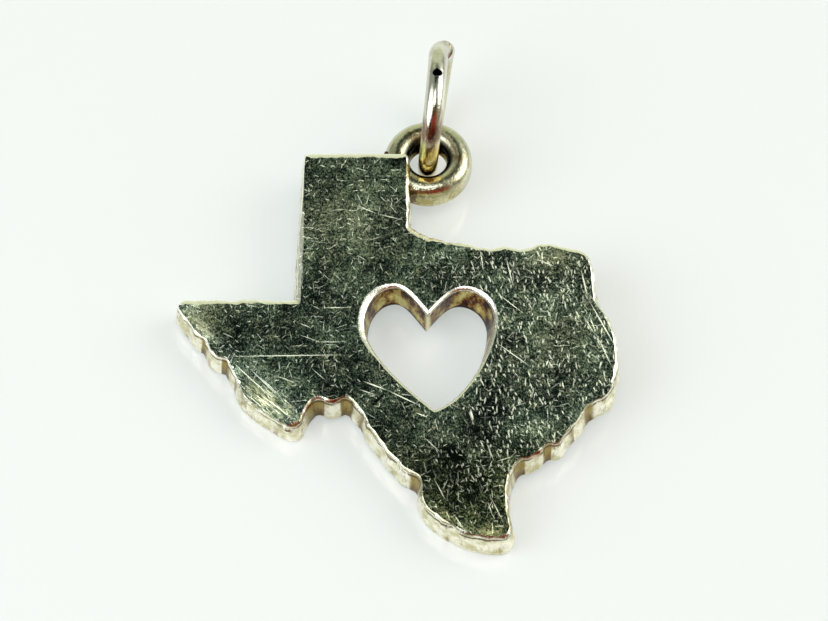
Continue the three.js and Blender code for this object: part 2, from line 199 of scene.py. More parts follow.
# Long marks on the face: ends, width and brightness, in millimetres
LIGHT_MARKS = [
    ((-9.13, 4.19), (-3.76, 4.28), 0.055, 0.75),
    ((-5.21, 4.93), (-4.02, 4.93), 0.045, 0.6),
    ((-5.12, 6.66), (-3.63, 6.68), 0.05, 0.6),
    ((-8.99, 3.94), (-7.26, 2.24), 0.05, 0.9),
    ((-8.23, 3.64), (-6.9, 2.21), 0.045, 0.7),
    ((-7.77, 3.22), (-6.84, 2.24), 0.045, 0.7),
    ((-8.48, 2.53), (-7.39, 1.54), 0.06, 0.8),
    ((-8.08, 2.48), (-6.68, 1.27), 0.06, 0.7),
    ((-7.67, 2.32), (-6.18, 1.06), 0.06, 0.7),
    ((-6.98, 3.22), (-6.1, 2.82), 0.045, 0.6),
    ((-5.48, 3.64), (-4.72, 2.91), 0.04, 0.5),
    ((-6.07, 5.92), (-5.43, 5.62), 0.04, 0.6),
    ((-6.09, 5.33), (-5.03, 4.91), 0.04, 0.5),
    ((-3.5, 11.96), (-2.48, 11.48), 0.05, 0.6),
    ((-2.48, 11.48), (-1.41, 11.2), 0.05, 0.6),
    ((-5.78, 10.15), (-4.66, 9.95), 0.05, 0.3),
    ((2.94, 7.37), (4.14, 6.33), 0.045, 0.8),
    ((2.84, 4.91), (4.41, 3.64), 0.045, 0.9),
    ((2.14, 9.69), (2.3, 8.55), 0.05, 0.7),
    ((1.75, 9.09), (1.93, 8.36), 0.045, 0.6),
    ((3.31, 9.29), (3.65, 7.68), 0.055, 0.8),
    ((4.68, 9.16), (5.57, 8.76), 0.05, 0.7),
    ((6.7, 8.62), (7.0, 7.12), 0.07, 0.9),
    ((7.0, 7.12), (8.22, 4.63), 0.06, 0.9),
    ((7.03, 6.3), (7.35, 5.33), 0.05, 0.8),
    ((7.35, 5.33), (8.06, 3.57), 0.05, 0.8),
    ((6.68, 6.41), (7.33, 5.21), 0.05, 0.6),
    ((7.33, 5.21), (7.56, 4.6), 0.05, 0.6),
    ((1.67, 1.56), (1.79, 0.95), 0.1, 1.0),
    ((5.15, 4.02), (5.09, 3.72), 0.08, 0.9),
    ((4.33, 2.89), (4.45, 2.55), 0.07, 0.8),
    ((5.77, 2.94), (5.87, 2.55), 0.07, 0.8),
    ((5.74, 1.49), (5.85, 1.27), 0.07, 0.8),
    ((2.39, 3.86), (2.47, 3.64), 0.07, 0.8),
    ((-3.13, 2.95), (-2.02, 2.48), 0.07, 0.9),
    ((-2.02, 2.48), (-0.57, 1.71), 0.06, 0.9),
    ((-3.34, 2.55), (-2.54, 2.25), 0.05, 0.7),
    ((-0.77, 1.37), (-0.24, 1.13), 0.06, 0.9),
    ((-0.43, 0.17), (0.37, -0.65), 0.045, 0.6),
    ((0.04, -1.91), (0.59, -3.05), 0.045, 0.6),
    ((0.87, -3.61), (1.41, -4.48), 0.045, 0.6),
    ((2.42, -3.04), (2.63, -3.76), 0.045, 0.6),
    ((2.55, -2.83), (3.12, -4.11), 0.045, 0.6),
    ((2.37, -0.11), (2.72, -1.08), 0.045, 0.6),
    ((2.79, -1.08), (3.59, -0.79), 0.045, 0.6),
]

# Lighter patches of the face, partly painted light where its tilts catch the lamps; darker and worn ones,
# given in the same way
LIGHTER_AND_LIT_PATCHES = [
    ((-11.5, 6.6), (-9.0, 5.2), 3.0, 0.9),
    ((-8.6, 2.6), (-6.0, 0.9), 1.6, 0.5),
    ((3.6, 9.2), (7.4, 9.3), 2.2, 0.9),
    ((-5.7, 8.7), (-5.6, 10.0), 1.2, 0.5),
    ((-3.5, 12.2), (-3.3, 13.6), 1.0, 0.5),
    ((-6.0, 13.0), (-1.0, 14.4), 3.0, 0.3),
    ((-4.6, 7.5), (-3.4, 14.5), 7.0, 0.5),
    ((5.4, 2.5), (6.2, 8.0), 5.0, 0.4),
    ((1.5, -4.3), (3.2, -4.6), 0.9, 0.6),
    ((-0.4, -2.9), (1.2, -4.5), 0.8, 0.6),
]
DARK_PATCHES = [
    ((0.2, -0.2), (1.5, -1.2), 0.9, 1.0),
    ((-2.11, 2.39), (-2.82, 1.64), 0.16, 1.0),
    ((-2.2, 14.3), (-1.2, 14.3), 1.0, 0.5),
    ((2.0, 3.0), (2.8, 0.5), 1.4, 0.4),
    ((0.5, 1.0), (4.5, -0.5), 1.4, 0.35),
    ((-6.0, 4.0), (-4.5, 3.0), 1.5, 0.3),
    ((-0.5, -0.5), (2.8, -3.8), 3.6, 0.6),
    ((-9.0, 6.3), (-8.6, 4.6), 0.5, 0.4),
]
WORN_PATCHES = [
    ((-9.4, 3.3), (-5.9, 0.6), 2.0, 1.5),
    ((-9.9, 4.6), (-9.0, 4.1), 0.6, 0.8),
    ((-11.5, 6.9), (-9.7, 4.9), 0.6, 0.8),
    ((0.4, -4.0), (3.3, -4.7), 0.45, 0.3),
]

# Red reflections painted on the shoulder, where it would mirror a red thing low in the room
RED_REFLECTION_MARKS = [
    ((-6.6, 0.7), (-5.8, 0.95), 0.5, 1.2),
    ((-5.85, 1.0), (-5.3, 2.1), 0.3, 1.0),
    ((-5.0, 2.0), (-3.8, 1.95), 0.2, 0.8),
    ((1.5, -4.9), (3.5, -5.0), 0.34, 1.1),
    ((3.5, -1.5), (5.8, 0.1), 0.3, 1.1),
    ((6.6, 0.9), (8.0, 2.3), 0.2, 0.8),
]

# Colours of the face from tarnish to scratch, and of the heart's wall from dark blots to bare bronze
FACE_STOPS = [
    (0.0, (0.008, 0.012, 0.01, 1)),
    (0.3, (0.06, 0.09, 0.075, 1)),
    (0.55, (0.22, 0.28, 0.2, 1)),
    (0.8, (0.6, 0.64, 0.44, 1)),
    (1.0, (0.95, 0.95, 0.75, 1)),
]
BRONZE_STOPS = [
    (0.0, (0.025, 0.006, 0.005, 1)),
    (0.2, (0.09, 0.025, 0.01, 1)),
    (0.4, (0.24, 0.13, 0.03, 1)),
    (0.65, (0.4, 0.3, 0.085, 1)),
    (1.0, (0.6, 0.53, 0.22, 1)),
]

# Middle of the heart, the reach round it that holds its wall and rim, and where its cleft lies
HEART_MIDDLE = (-0.2, 4.7, PLATE_FACE)
HEART_REACH = (3.84, 3.9)
CLEFT_X = -0.22

# How far a mark on the face reaches, as a share of its length and width, and its depth
MARK_SPREAD = 0.56
MARK_DEPTH = 0.5


# Shader maths


def both_ways(operation):
    """A Math node's operation as a Python operator and as its reflected form."""

    def plain(self, other):
        return self.finish.math(operation, self, other)

    def reflected(self, other):
        return self.finish.math(operation, other, self)

    return plain, reflected


class Signal:
    """One output of a material's nodes. Sums written with it add Math nodes."""

    def __init__(self, finish, socket):
        self.finish = finish
        self.socket = socket

    __add__, __radd__ = both_ways("ADD")
    __sub__, __rsub__ = both_ways("SUBTRACT")
    __mul__, __rmul__ = both_ways("MULTIPLY")
    __truediv__, __rtruediv__ = both_ways("DIVIDE")
    __pow__, __rpow__ = both_ways("POWER")

    def math(self, operation, *others):
        return self.finish.math(operation, self, *others)

    def larger(self, other):
        return self.math("MAXIMUM", other)

    def smaller(self, other):
        return self.math("MINIMUM", other)

    def rising(self, low, high):
        """Smooth step from 0 at low to 1 at high."""
        sockets = {"Value": self, "From Min": low, "From Max": high}
        return self.finish.node("ShaderNodeMapRange", {"interpolation_type": "SMOOTHSTEP"}, sockets)

    def within(self, low, rise, fall, high):
        """Rises to 1 from low to rise, and is back at 0 from fall to high."""
        return self.rising(low, rise) * (1 - self.rising(fall, high))


class Finish:
    """The nodes of a material, or of the world, being filled in."""

    def __init__(self, holder):
        holder.use_nodes = True
        self.holder = holder
        self.tree = holder.node_tree
        self.tree.nodes.clear()

    def node(self, kind, settings=None, sockets=None, out=0):
        """Adds a node, sets its settings and then its sockets, and returns one of its outputs."""
        made = self.tree.nodes.new(kind)
        for name, value in (settings or {}).items():
            if name == "stops":
                fill_ramp(made.color_ramp, value)
            else:
                setattr(made, name, value)
        for key, value in (sockets or {}).items():
            self.feed(made.inputs[key], value)
        return Signal(self, made.outputs[out]) if len(made.outputs) else made

    def feed(self, socket, value):
        if isinstance(value, Signal):
            self.tree.links.new(value.socket, socket)
        else:
            socket.default_value = value

    def math(self, operation, *values):
        return self.node("ShaderNodeMath", {"operation": operation}, dict(enumerate(values)))

    def vector(self, operation, *values, out=0):
        settings = {"operation": operation}
        return self.node("ShaderNodeVectorMath", settings, dict(enumerate(values)), out)

    def scaled(self, vector, amount):
        return self.node("ShaderNodeVectorMath", {"operation": "SCALE"}, {0: vector, "Scale": amount})

    def mix(self, first, second, share):
        sockets = {0: share, 6: first, 7: second}
        return self.node("ShaderNodeMix", {"data_type": "RGBA"}, sockets, out=2)

    def layered(self, colour, *layers):
        """A colour with others laid over it, each with its share."""
        for over, share in layers:
            colour = self.mix(colour, over, share)
        return colour

    def tinted(self, colour, tint, share):
        """The colour multiplied by a tint where the share is 1."""
        return self.mix(colour, self.vector("MULTIPLY", colour, tint), share)

    def ramp(self, value, stops):
        return self.node("ShaderNodeValToRGB", {"stops": stops}, {0: value})

    def part(self, vector, axis):
        return self.node("ShaderNodeSeparateXYZ", {}, {0: vector}, out="XYZ".index(axis))

    def millimetres(self):
        place = self.node("ShaderNodeTexCoord", out=3)
        return self.scaled(place, 1 / MM)

    def attribute(self, name):
        return self.node("ShaderNodeAttribute", {"attribute_name": name}, out=2)

    def laid(self, place, shift, turn, stretch):
        """Places as seen from a frame that is shifted, turned round the upright axis and stretched."""
        sockets = {"Vector": place, "Location": shift, "Rotation": (0, 0, turn), "Scale": stretch}
        return self.node("ShaderNodeMapping", {"vector_type": "TEXTURE"}, sockets)

    def speckle(self, place, scale, detail=2.0, rough=0.5, stretch=(1, 1, 1), turn=0.0, shift=(0, 0, 0)):
        """Noise round 0.5, drawn out by stretch along the turned axes."""
        laid = self.laid(place, shift, turn, stretch)
        sockets = {"Vector": laid, "Scale": scale, "Detail": detail, "Roughness": rough}
        return self.node("ShaderNodeTexNoise", {"noise_dimensions": "3D"}, sockets)

    def strokes(self, place, density, length, width, lean, spread, shift):
        """Short straight scratches, one in each cell, turned by chance round the given lean."""
        moved = self.vector("ADD", place, shift)
        settings = {"voronoi_dimensions": "2D", "feature": "F1"}
        sockets = {"Vector": moved, "Scale": density, "Randomness": 1.0}
        centre = self.node("ShaderNodeTexVoronoi", settings, sockets, out=2)
        chance = Signal(self, centre.socket.node.outputs[1])
        offset = self.vector("SUBTRACT", moved, centre)
        turn = (self.part(chance, "X") - 0.5) * spread + lean
        settings = {"rotation_type": "Z_AXIS", "invert": True}
        laid = self.node("ShaderNodeVectorRotate", settings, {"Vector": offset, "Angle": turn})
        run = self.part(laid, "X") / length
        side = self.part(laid, "Y") / width
        along = 1 - run * run
        across = 1 - side * side
        strength = self.part(chance, "Y").rising(0.4, 1.0)
        return along.larger(0) ** 0.5 * across.larger(0) * strength

    def mark(self, place, start, end, width):
        """1 along a line between two points, falling off to its sides and towards its ends."""
        middle = (Vector(start) + Vector(end)) / 2
        run = Vector(end) - Vector(start)
        reach = (run.length * MARK_SPREAD, width * MARK_SPREAD, MARK_DEPTH)
        laid = self.laid(place, (middle.x, middle.y, PLATE_FACE), math.atan2(run.y, run.x), reach)
        return self.node("ShaderNodeTexGradient", {"gradient_type": "SPHERICAL"}, {"Vector": laid}, out=1)

    def gathered(self, place, marks):
        """The strongest of several marks at each place."""
        made = 0.0
        for start, end, width, strength in marks:
            made = self.math("MAXIMUM", made, self.mark(place, start, end, width) * strength)
        return made

    def metal(self, colour, roughness, relief, strength, depth):
        """Shiny metal with a slight relief, its depth in millimetres."""
        sockets = {"Height": relief, "Strength": strength, "Distance": depth * MM}
        normal = self.node("ShaderNodeBump", {}, sockets)
        return self.surface({"Base Color": colour, "Roughness": roughness, "Metallic": 1.0, "Normal": normal})

    def surface(self, sockets):
        """Ends the nodes in one shader and returns the finished material."""
        shader = self.node("ShaderNodeBsdfPrincipled", {}, sockets)
        self.node("ShaderNodeOutputMaterial", {}, {"Surface": shader})
        return self.holder


def fill_ramp(ramp, stops):
    while len(ramp.elements) > 1:
        ramp.elements.remove(ramp.elements[-1])
    ramp.elements[0].position, ramp.elements[0].color = stops[0]
    for position, colour in stops[1:]:
        ramp.elements.new(position).color = colour


def new_finish(name):
    return Finish(bpy.data.materials.new(name))


class PlateMap:
    """What the plate's face, wall and heart share: places, masks, grain and stains."""

    def __init__(self, finish):
        self.place = finish.millimetres()
        self.x, self.y = (finish.part(self.place, axis) for axis in "XY")
        self.rise = finish.attribute("rise")
        facing = finish.part(finish.node("ShaderNodeNewGeometry", out=1), "Z")
        rim = finish.attribute("edge")
        self.flat = facing.math("ABSOLUTE").rising(0.6, 0.8) * (1 - rim.rising(0.05, 0.6))
        self.wall = 1 - facing.rising(0.2, 0.45)
        middle = finish.vector("SUBTRACT", self.place, HEART_MIDDLE)
        self.outside = finish.vector("LENGTH", middle, out=1).rising(*HEART_REACH)
        self.cloud = finish.speckle(self.place, 1.7, 3.0, 0.65, shift=(7, 3, 0))
        self.grain = finish.speckle(self.place, 8.5, 3.0, 0.8, stretch=(1, 1.2, 1), turn=0.5)
        self.fleck = finish.speckle(self.place, 20.0, 2.0, 0.7, stretch=(1, 1.9, 1), turn=0.15)


def plate_silver(colours):
    """Tarnished, scratched face, bright shoulder, stained wall, and bronze inside the heart."""
    finish = new_finish("worn_plate_silver")
    plate = PlateMap(finish)
    face, glint = face_colour(finish, plate)
    edge, red_reflection = edge_colour(finish, plate, colours)
    inner = (1 - plate.outside) * (1 - plate.rise.rising(1.27, 1.33))
    # The red laid on the shoulder is a painted reflection, mottled by the stain noise
    red_reflection = red_reflection.smaller(1) * (1 - plate.wall * 0.5) * (1 - plate.flat * 0.3)
    bronze = heart_bronze(finish, plate)
    colour = finish.layered(
        edge, (bronze, inner), (face, plate.flat), ((0.23, 0.06, 0.012, 1), red_reflection)
    )

    rough = (0.27 + 0.1 * plate.grain + 0.4 * glint) * plate.flat
    rough = rough + (0.16 + 0.35 * (plate.cloud - 0.35) + 0.1 * plate.wall) * (1 - plate.flat)
    upright = finish.speckle(plate.place, 4.5, 3.0, 0.7, stretch=(1, 1, 5), shift=(3, 8, 2))
    relief = plate.grain * 0.5 + plate.cloud * 0.9 + plate.fleck * 0.25
    relief = relief - glint * 0.5 + upright * plate.wall * 3
    return finish.metal(colour, rough, relief, 0.9, 0.02)


def scratches(finish, plate):
    """Fine hairs all over the face, and upright dashes on its east half."""
    place = plate.place
    hairs = finish.strokes(place, 4.0, 0.12, 0.022, 1.5, 3.1, (0, 0, 0))
    hairs = hairs.larger(finish.strokes(place, 2.0, 0.3, 0.02, 0.6, 3.1, (3.3, 1.7, 0)) * 0.9)
    dashes = finish.strokes(place, 4.2, 0.1, 0.036, -1.42, 0.7, (5.1, 2.9, 0))
    dashes = dashes.larger(finish.strokes(place, 2.3, 0.19, 0.036, -1.42, 0.9, (1.2, 8.4, 0)))
    east = plate.x.rising(-1.5, 2.0) * plate.y.rising(-6.0, 0.5)
    return (hairs * 0.75).larger(dashes * east)


def face_colour(finish, plate):
    """Colour of the grained face, and where its scratches glint."""
    place = plate.place
    broad = finish.speckle(place, 0.5, 3.0, 0.6)
    combed = finish.speckle(place, 9.0, 3.0, 0.75, stretch=(6, 1, 1), turn=-0.75)
    # Lighter patches: partly tone of the metal, partly painted light
    lighter_and_lit = finish.gathered(place, LIGHTER_AND_LIT_PATCHES)
    darker = finish.gathered(place, DARK_PATCHES)
    worn = finish.gathered(place, WORN_PATCHES).smaller(1)

    tone = (plate.grain - 0.5) * 2.0 + (plate.fleck - 0.5) * 2.3 + (plate.cloud - 0.5) * 1.1
    tone = (tone + (broad - 0.5)) * (1 - worn) + ((combed - 0.5) * 3.6 + 0.26) * worn
    face = finish.ramp(tone + 0.35 + lighter_and_lit * 0.5 - darker * 0.8, FACE_STOPS)

    olive = (plate.cloud.rising(0.5, 0.75) * 0.3).larger(lighter_and_lit * 0.4)
    olive = olive.larger(0.85 - plate.y.rising(-3.0, 1.5) * 0.85).larger(worn * 0.55)
    face = finish.tinted(face, (1.1, 1.0, 0.62), olive)
    cool = broad.rising(0.45, 0.6) * (1 - olive) * (1 - lighter_and_lit) * (1 - worn)
    face = finish.tinted(face, (0.88, 1.0, 1.0), cool)

    marks = finish.gathered(place, LIGHT_MARKS)
    scuffs = finish.strokes(place, 4.4, 0.3, 0.03, -0.8, 0.35, (2.2, 6.1, 0))
    glint = (marks * 1.7).smaller(1).larger(scratches(finish, plate) * 0.9)
    glint = glint.larger(worn * scuffs * 0.8)
    return finish.mix(face, (1.0, 1.0, 0.84, 1), glint), glint


def edge_colour(finish, plate, colours):
    """Colour of the bright shoulder and of the yellowed wall below it, with painted highlights and shade, and
    where red reflections are painted.
    """
    rise = plate.rise
    stain = finish.speckle(plate.place, 2.4, 3.0, 0.7, stretch=(1, 1, 2.6), shift=(2, 5, 1))
    lump = finish.speckle(plate.place, 1.7, 3.0, 0.6, shift=(9, 1, 4))
    notch = finish.attribute("notch").rising(0.0, 0.28)

    # The near-white end of this mix paints highlights on the wall, as if its bumps caught the lamps
    pale = finish.mix((0.56, 0.52, 0.27, 1), (1.0, 0.97, 0.85, 1), lump.rising(0.32, 0.62))
    brown = (notch * stain.rising(0.34, 0.5)).larger(stain.rising(0.55, 0.7) * 0.8)
    # Notch walls darken towards their foot: painted shade deep in the hollow, over their golden-brown tarnish
    foot = 1 - rise.rising(0.1, 0.9) * 0.8
    deep = finish.mix((0.36, 0.27, 0.055, 1), (0.09, 0.05, 0.015, 1), foot)
    # Painted dark reflection: a thin dark line just under the shoulder, where the bend would mirror the dark
    # room
    painted_dark_line = rise.within(1.16, 1.26, 1.32, 1.38) * plate.cloud.rising(0.38, 0.46)
    wall = finish.layered(
        colours.wall,
        (pale, 0.8),
        (colours.warm, brown * 0.8),
        (deep, notch * 0.85),
        ((0.07, 0.045, 0.02, 1), painted_dark_line * 0.9),
    )

    dulled_but_lit_edges = (plate.fleck.rising(0.44, 0.58) * 0.7).larger(stain.rising(0.41, 0.52) * 0.85)
    # The north edges and the heart's rim are left undulled: painted brightness standing in for the light they
    # catch
    dulled_but_lit_edges = dulled_but_lit_edges * (1 - plate.y.rising(2.6, 3.4)) * plate.outside
    bright = finish.mix(colours.silver, (0.3, 0.28, 0.16, 1), dulled_but_lit_edges)
    # Painted red reflections along the shoulder, broken up by the stain noise
    red_reflection = finish.gathered(plate.place, RED_REFLECTION_MARKS) * 1.6 * stain.rising(0.25, 0.45)
    return finish.mix(bright, wall, plate.wall), red_reflection


def heart_bronze(finish, plate):
    """Blotched bronze of the heart's wall, darker at its foot, with a highlight painted down the cleft."""
    rise = plate.rise
    blots = finish.speckle(plate.place, 1.5, 4.0, 0.65, stretch=(1, 1, 1.7), shift=(1, 2, 8))
    tone = (blots - 0.5) * 4.2 + 0.56 - rise.rising(0.4, 1.3) * 0.3 - (1 - rise.rising(0.03, 0.3))
    beside = (plate.x - CLEFT_X).math("ABSOLUTE")
    # Painted highlight: a pale cream streak down the heart's cleft
    cleft = (1 - beside.rising(0.03, 0.17)) * plate.y.rising(5.4, 5.7)
    return finish.mix(finish.ramp(tone, BRONZE_STOPS), (0.8, 0.74, 0.45, 1), cleft)


def ring_silver(colours):
    """Yellowed silver, with black painted shade down in the bore, olive on its southern foot and brown
    painted shade towards the plate.
    """
    finish = new_finish("fixed_ring_silver")
    place = finish.millimetres()
    stain = finish.speckle(place, 1.1, 4.0, 0.65)
    fine = finish.speckle(place, 7.0, 3.0, 0.7)
    centre, _, bore, _ = ring_place()
    inward = finish.vector("SUBTRACT", tuple(centre), place)
    inward = finish.vector("MULTIPLY", inward, (1, 1, 0))
    # Painted shade: near-black down in the bore
    deep = 1 - finish.vector("LENGTH", inward, out=1).rising(bore + 0.17, bore + 0.38)
    west, south = (finish.part(inward, axis) for axis in "XY")
    mottle = (stain * 0.6 + fine * 0.4).rising(0.44, 0.58)
    olive = finish.mix((0.36, 0.3, 0.1, 1), (0.7, 0.66, 0.42, 1), mottle)
    # Painted shade: dark brown on the side towards the plate, in the crease between ring and plate
    olive = finish.mix(olive, (0.17, 0.07, 0.025, 1), west.rising(0.5, 1.0))
    foot = 1 - finish.part(place, "Z").rising(0.5, 1.0)
    colour = finish.layered(
        colours.ring,
        (colours.warm, stain.rising(0.48, 0.66) * 0.7),
        ((0.85, 0.83, 0.72, 1), fine.rising(0.56, 0.72) * 0.5),
        ((0.02, 0.02, 0.014, 1), deep * 0.95),
        (olive, south.rising(0.9, 1.5) * foot),
    )
    rough = 0.08 + 0.25 * (fine - 0.3) + 0.1 * stain
    return finish.metal(colour, rough, fine + stain * 4, 0.7, 0.02)


def wire_silver(colours, pit):
    """Silver of the jump ring: neutral at the top, with painted brown and golden reflections down its front
    and black painted shade in the pit.
    """
    finish = new_finish("jump_ring_silver")
    place = finish.millimetres()
    stain = finish.speckle(place, 0.9, 4.0, 0.65, shift=(4, 0, 2))
    fine = finish.speckle(place, 8.0, 3.0, 0.7)
    height = finish.part(place, "Z")
    front = 1 - finish.part(place, "Y").rising(16.3, 16.9)
    # Painted reflection: a dark red-brown band across the front strand
    brown = front * height.within(3.0, 3.3, 3.7, 4.1)
    # Painted reflection: golden on the lower part of the front strand
    golden = front * (1 - height.rising(2.6, 3.3))

    # Painted shade: near-black inside the pit
    clear = finish.vector("DISTANCE", place, tuple(pit), out=1).rising(0.25, 0.28)
    colour = finish.layered(
        colours.ring,
        ((0.74, 0.72, 0.7, 1), height.rising(3.5, 4.2) * 0.5),
        (colours.warm, stain.rising(0.5, 0.7) * 0.5),
        ((0.15, 0.05, 0.03, 1), brown * 0.8),
        ((0.6, 0.44, 0.12, 1), golden * 0.9),
        ((0.85, 0.83, 0.75, 1), fine.rising(0.56, 0.72) * 0.5),
        ((0.004, 0.004, 0.005, 1), 1 - clear),
    )
    rough = (0.07 + 0.22 * (fine - 0.3)).larger(0.7 - clear * 0.7)
    return finish.metal(colour, rough, fine * 0.7 + stain * 3, 0.5, 0.02)


def seam_silver(colours):
    """Pale silver of the jump ring with the dark grains of an old seam in it."""
    finish = new_finish("jump_ring_seam_silver")
    fine = finish.speckle(finish.millimetres(), 5.0, 4.0, 0.7)
    colour = finish.mix(colours.ring, (0.03, 0.035, 0.02, 1), fine.rising(0.52, 0.6))
    return finish.metal(colour, 0.15 + 0.3 * fine, fine, 0.7, 0.03)


def dull_solder():
    """Brown solder with dark grains."""
    finish = new_finish("dull_solder")
    fine = finish.speckle(finish.millimetres(), 5.0, 4.0, 0.7)
    colour = finish.mix((0.2, 0.13, 0.06, 1), (0.04, 0.02, 0.015, 1), fine.rising(0.48, 0.62))
    return finish.metal(colour, 0.2 + 0.25 * fine, fine, 0.6, 0.04)


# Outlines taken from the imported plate


def keyed(mesh):
    """A key for each vertex, the same for vertices at one place, and the place of each key."""
    keys = [tuple(round(c / (SAME_PLACE * MM)) for c in v.co) for v in mesh.vertices]
    return keys, {key: (v.co / MM).xy for key, v in zip(keys, mesh.vertices)}


def pairs(loop):
    """Each item of a closed loop with the next one."""
    return list(zip(loop, loop[1:] + loop[:1]))


def chained(edges, places):
    """Closed loops of places from a set of edges that meet two and two, the longest first."""
    beside = {}
    for a, b in edges:
        beside.setdefault(a, []).append(b)
        beside.setdefault(b, []).append(a)
    loops = []
    left = set(beside)
    while left:
        ahead = [min(left)]
        loop = []
        while ahead:
            loop.append(ahead[0])
            left.discard(ahead[0])
            ahead = [key for key in beside[ahead[0]] if key in left]
        loops.append([places[key] for key in loop])
    return sorted(loops, key=len, reverse=True)


def counter_clockwise(loop):
    area = sum(a.x * b.y - b.x * a.y for a, b in pairs(loop))
    return loop if area > 0 else loop[::-1]


def outline_loop(mesh, level):
    """Outline of the plate where its wall meets the rounded shoulder."""
    keys, places = keyed(mesh)
    edges = set()
    for edge in mesh.edges:
        a, b = (mesh.vertices[i] for i in edge.vertices)
        if max(abs(a.co.z / MM - level), abs(b.co.z / MM - level)) < SAME_PLACE:
            edges.add(tuple(sorted((keys[a.index], keys[b.index]))))
    return counter_clockwise(chained(edges, places)[0])


def heart_loop(mesh, level, up):
    """Edge of the heart in the flat face at one level: the narrowest loop round that face."""
    keys, places = keyed(mesh)
    count = {}
    for polygon in mesh.polygons:
        if polygon.normal.z * up < 0.999 or abs(polygon.center.z / MM - level) > SAME_PLACE:
            continue
        for pair in pairs([keys[i] for i in polygon.vertices]):
            edge = tuple(sorted(pair))
            count[edge] = count.get(edge, 0) + 1
    loops = chained({edge for edge, n in count.items() if n == 1}, places)
    return counter_clockwise(min(loops, key=lambda loop: max(p.x for p in loop) - min(p.x for p in loop)))


def with_directions(loop):
    """Adds to each point the way out from it, along the middle of the turn there."""
    made = []
    for i, (point, following) in enumerate(pairs(loop)):
        before = (point - loop[i - 1]).normalized()
        after = (following - point).normalized()
        share = 1 / (1 + before.dot(after))
        out = Vector((before.y + after.y, -before.x - after.x)) * share
        made.append(Vector((point.x, point.y, out.x, out.y)))
    return made


def sharp(loop, i):
    before = (loop[i] - loop[i - 1]).xy
    after = (loop[(i + 1) % len(loop)] - loop[i]).xy
    return before.angle(after, 0.0) > CORNER


def split_long(loop, longest):
    made = []
    for a, b in pairs(loop):
        pieces = max(1, math.ceil((b - a).xy.length / longest))
        made.extend(a.lerp(b, i / pieces) for i in range(pieces))
    return made


def smoothed(loop):
    """Puts a point between each two, on the curve through four, except beside sharp corners."""
    corners = [sharp(loop, i) for i in range(len(loop))]
    made = []
    for i, (point, after) in enumerate(pairs(loop)):
        middle = (point + after) / 2
        if not corners[i] and not corners[(i + 1) % len(loop)]:
            middle = middle * 1.125 - (loop[i - 1] + loop[(i + 2) % len(loop)]) / 16
        made.extend((point, middle))
    return made


def evened(loop, step):
    """The same curve with its points a step apart. Returns the points and their places along it."""
    marks = [0.0]
    for a, b in pairs(loop):
        marks.append(marks[-1] + (b - a).xy.length)
    count = round(marks[-1] / step)
    points, along, at = [], [], 0
    for i in range(count):
        want = marks[-1] * i / count
        while marks[at + 1] < want:
            at += 1
        share = (want - marks[at]) / (marks[at + 1] - marks[at])
        points.append(loop[at].lerp(loop[(at + 1) % len(loop)], share))
        along.append(want)
    return points, along


def fine_curve(loop, step):
    curve = split_long(with_directions(loop), LONGEST)
    return evened(smoothed(smoothed(curve)), step)


def hollows(points, reach):
    """How far each point lies in a notch: the turn inward over a short reach, from -1 to 1."""
    made = []
    for i, point in enumerate(points):
        before = point.xy - points[i - reach].xy
        after = points[(i + reach) % len(points)].xy - point.xy
        made.append(-before.cross(after) / (before.length * after.length))
    return made


def reach_of(loop):
    """Lowest x and y of a loop, and highest x and y."""
    return [[pick(p[k] for p in loop) for k in (0, 1)] for pick in (min, max)]


def climb(value, low, high):
    """0 up to low, 1 from high on, and even between them."""
    return min(max((value - low) / (high - low), 0), 1)


def rounding(share):
    """How far in and how far down the rounded edge is at a share of its bend, 0 at its foot."""
    angle = share * CREASE
    inward = (1 - math.cos(angle)) / (1 - math.cos(CREASE))
    return inward, 1 - math.sin(angle) / math.sin(CREASE)


# Meshes


def quads(lower, upper):
    """Four-cornered faces between two closed loops of equal length."""
    return [(a, b, d, c) for (a, b), (c, d) in zip(pairs(lower), pairs(upper))]


